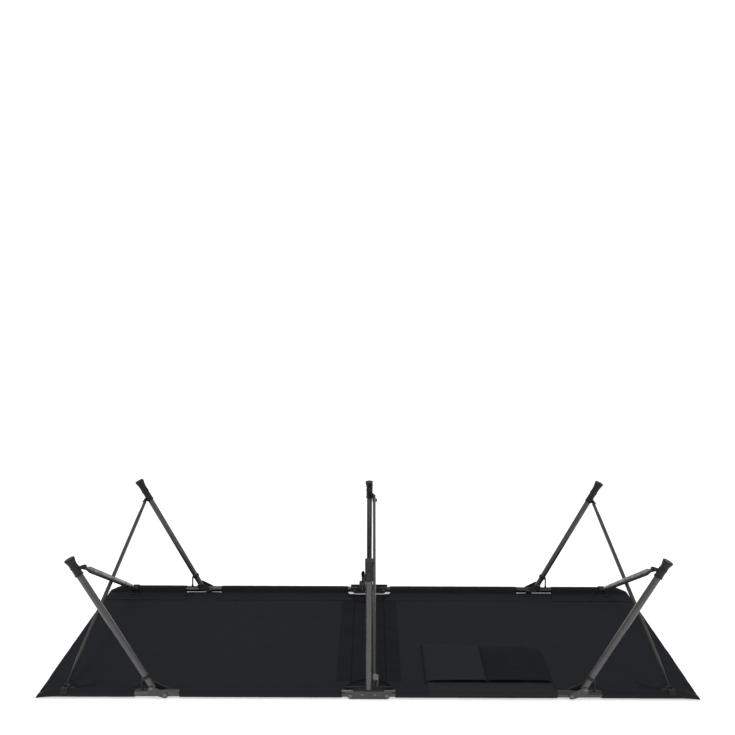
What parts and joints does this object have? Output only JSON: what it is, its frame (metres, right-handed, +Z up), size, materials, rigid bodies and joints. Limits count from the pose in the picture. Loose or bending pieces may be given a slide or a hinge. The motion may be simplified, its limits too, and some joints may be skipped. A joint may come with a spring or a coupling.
{
  "type": "folding camp cot",
  "caption": "Folding camp cot lying on its sleeping face: fabric bed on hinged tube rails, upright middle legs, leaning end legs with boots and crossed braces, flat pocket underneath.",
  "frame": {"origin": "under the middle of the cot, on the plane its sleeping face lies on", "axes": "+X along the cot, +Y across it away from the near rail, +Z up through the legs; stored lying on its sleeping face, turn 180 degrees about X to use"},
  "size_m": [1.9, 0.6536, 0.4389],
  "materials": {
    "tube": "satin dark grey powder coat",
    "plastic": "moulded black, slightly worn",
    "plate": "grey brown painted pressed steel",
    "rivet": "plain steel",
    "fabric": "woven near-black polyester",
    "lever": "moulded light grey"
  },
  "bodies": {
    "near_middle": {"near_outer_hinge_plate": "plate", "near_inner_hinge_plate": "plate", "near_left_hinge_pin": "rivet", "near_right_hinge_pin": "rivet", "near_middle_leg": "tube", "near_middle_boot": "plastic", "middle_panel": "fabric"},
    "far_middle": {"far_outer_hinge_plate": "plate", "far_inner_hinge_plate": "plate", "far_left_hinge_pin": "rivet", "far_right_hinge_pin": "rivet", "far_middle_leg": "tube", "far_middle_boot": "plastic"},
    "near_left_side": {"near_left_rail": "tube", "near_left_rail_plug": "plastic", "left_panel": "fabric", "far_left_brace_clip": "plastic"},
    "near_right_side": {"near_right_rail": "tube", "near_right_rail_plug": "plastic", "right_panel": "fabric", "pocket": "fabric", "far_right_brace_clip": "plastic"},
    "far_left_side": {"far_left_rail": "tube", "far_left_rail_plug": "plastic", "far_left_hem": "fabric", "near_left_brace_clip": "plastic"},
    "far_right_side": {"far_right_rail": "tube", "far_right_rail_plug": "plastic", "far_right_hem": "fabric", "near_right_brace_clip": "plastic"},
    "near_left_leg_set": {"near_left_leg": "tube", "near_left_leg_bracket": "plate", "near_left_leg_rivet": "rivet", "near_left_leg_stay": "plastic", "near_left_boot": "plastic"},
    "near_left_cross_brace": {"near_left_brace": "tube"},
    "near_right_leg_set": {"near_right_leg": "tube", "near_right_leg_bracket": "plate", "near_right_leg_rivet": "rivet", "near_right_leg_stay": "plastic", "near_right_boot": "plastic"},
    "near_right_cross_brace": {"near_right_brace": "tube"},
    "far_left_leg_set": {"far_left_leg": "tube", "far_left_leg_bracket": "plate", "far_left_leg_rivet": "rivet", "far_left_leg_stay": "plastic", "far_left_boot": "plastic"},
    "far_left_cross_brace": {"far_left_brace": "tube"},
    "far_right_leg_set": {"far_right_leg": "tube", "far_right_leg_bracket": "plate", "far_right_leg_rivet": "rivet", "far_right_leg_stay": "plastic", "far_right_boot": "plastic"},
    "far_right_cross_brace": {"far_right_brace": "tube"},
    "near_upright_brace": {"near_middle_brace": "tube"},
    "near_lever": {"near_release_lever": "lever"},
    "far_upright_brace": {"far_middle_brace": "tube"},
    "far_lever": {"far_release_lever": "plastic"}
  },
  "joints": [
    {"name": "width_fold", "type": "slide", "parent": "near_middle", "child": "far_middle", "axis": [0, -1, 0], "range_m": [0, 0.5], "deforming": ["left_panel", "right_panel", "middle_panel", "pocket"]},
    {"name": "near_left_fold", "type": "hinge", "parent": "near_middle", "child": "near_left_side", "pos_m": [-0.0525, -0.312, 0.0125], "axis": [0, 1, 0], "range_deg": [0, 40]},
    {"name": "near_right_fold", "type": "hinge", "parent": "near_middle", "child": "near_right_side", "pos_m": [0.0525, -0.312, 0.0125], "axis": [0, -1, 0], "range_deg": [0, 40]},
    {"name": "far_left_fold", "type": "hinge", "parent": "far_middle", "child": "far_left_side", "pos_m": [-0.0525, 0.312, 0.0125], "axis": [0, 1, 0], "range_deg": [0, 40.05]},
    {"name": "far_right_fold", "type": "hinge", "parent": "far_middle", "child": "far_right_side", "pos_m": [0.0525, 0.312, 0.0125], "axis": [0, -1, 0], "range_deg": [0, 40.05]},
    {"name": "near_left_leg_fold", "type": "hinge", "parent": "near_left_side", "child": "near_left_leg_set", "pos_m": [-0.581, -0.312, 0.0125], "axis": [0, 1, 0], "range_deg": [0, 110.55]},
    {"name": "near_left_brace_swing", "type": "hinge", "parent": "near_left_leg_set", "child": "near_left_cross_brace", "pos_m": [-0.7688, -0.30061, 0.40159], "axis": [-0.6242, -0.6693, 0.403], "range_deg": [0, 82.98]},
    {"name": "near_right_leg_fold", "type": "hinge", "parent": "near_right_side", "child": "near_right_leg_set", "pos_m": [0.581, -0.312, 0.0125], "axis": [0, -1, 0], "range_deg": [0, 110.55]},
    {"name": "near_right_brace_swing", "type": "hinge", "parent": "near_right_leg_set", "child": "near_right_cross_brace", "pos_m": [0.7688, -0.30061, 0.40159], "axis": [-0.6242, 0.6693, -0.403], "range_deg": [0, 82.98]},
    {"name": "far_left_leg_fold", "type": "hinge", "parent": "far_left_side", "child": "far_left_leg_set", "pos_m": [-0.581, 0.312, 0.0125], "axis": [0, 1, 0], "range_deg": [0, 104.55]},
    {"name": "far_left_brace_swing", "type": "hinge", "parent": "far_left_leg_set", "child": "far_left_cross_brace", "pos_m": [-0.78769, 0.30061, 0.35582], "axis": [0.6489, -0.6687, -0.3629], "range_deg": [0, 84.28]},
    {"name": "far_right_leg_fold", "type": "hinge", "parent": "far_right_side", "child": "far_right_leg_set", "pos_m": [0.581, 0.312, 0.0125], "axis": [0, -1, 0], "range_deg": [0, 104.55]},
    {"name": "far_right_brace_swing", "type": "hinge", "parent": "far_right_leg_set", "child": "far_right_cross_brace", "pos_m": [0.78769, 0.30061, 0.35582], "axis": [0.6489, 0.6687, 0.3629], "range_deg": [0, 84.28]},
    {"name": "near_upright_brace_swing", "type": "hinge", "parent": "near_middle", "child": "near_upright_brace", "pos_m": [0.0165, -0.286, 0.022], "axis": [1, 0, 0], "range_deg": [0, 56.05]},
    {"name": "near_lever_press", "type": "hinge", "parent": "near_middle", "child": "near_lever", "pos_m": [0.0165, -0.286, 0.022], "axis": [1, 0, 0], "range_deg": [0, 25], "stiffness_Nm_per_rad": 0.05},
    {"name": "far_upright_brace_swing", "type": "hinge", "parent": "far_middle", "child": "far_upright_brace", "pos_m": [-0.0165, 0.286, 0.022], "axis": [-1, 0, 0], "range_deg": [0, 56.05]},
    {"name": "far_lever_press", "type": "hinge", "parent": "far_middle", "child": "far_lever", "pos_m": [-0.0165, 0.286, 0.022], "axis": [-1, 0, 0], "range_deg": [0, 25], "stiffness_Nm_per_rad": 0.05}
  ],
  "couplings": [
    {"joint": "far_left_fold", "follows": "near_left_fold", "ratio": 1},
    {"joint": "far_right_fold", "follows": "near_right_fold", "ratio": 1},
    {"joint": "near_left_leg_fold", "follows": "width_fold", "rad_per_m": 3.8572},
    {"joint": "near_left_brace_swing", "follows": "width_fold", "rad_per_m": 2.8948},
    {"joint": "near_right_leg_fold", "follows": "width_fold", "rad_per_m": 3.8572},
    {"joint": "near_right_brace_swing", "follows": "width_fold", "rad_per_m": 2.8948},
    {"joint": "far_left_leg_fold", "follows": "width_fold", "rad_per_m": 3.6477},
    {"joint": "far_left_brace_swing", "follows": "width_fold", "rad_per_m": 2.9402},
    {"joint": "far_right_leg_fold", "follows": "width_fold", "rad_per_m": 3.6477},
    {"joint": "far_right_brace_swing", "follows": "width_fold", "rad_per_m": 2.9402},
    {"joint": "near_upright_brace_swing", "follows": "width_fold", "rad_per_m": 1.9548},
    {"joint": "far_upright_brace_swing", "follows": "width_fold", "rad_per_m": 1.9548}
  ]
}
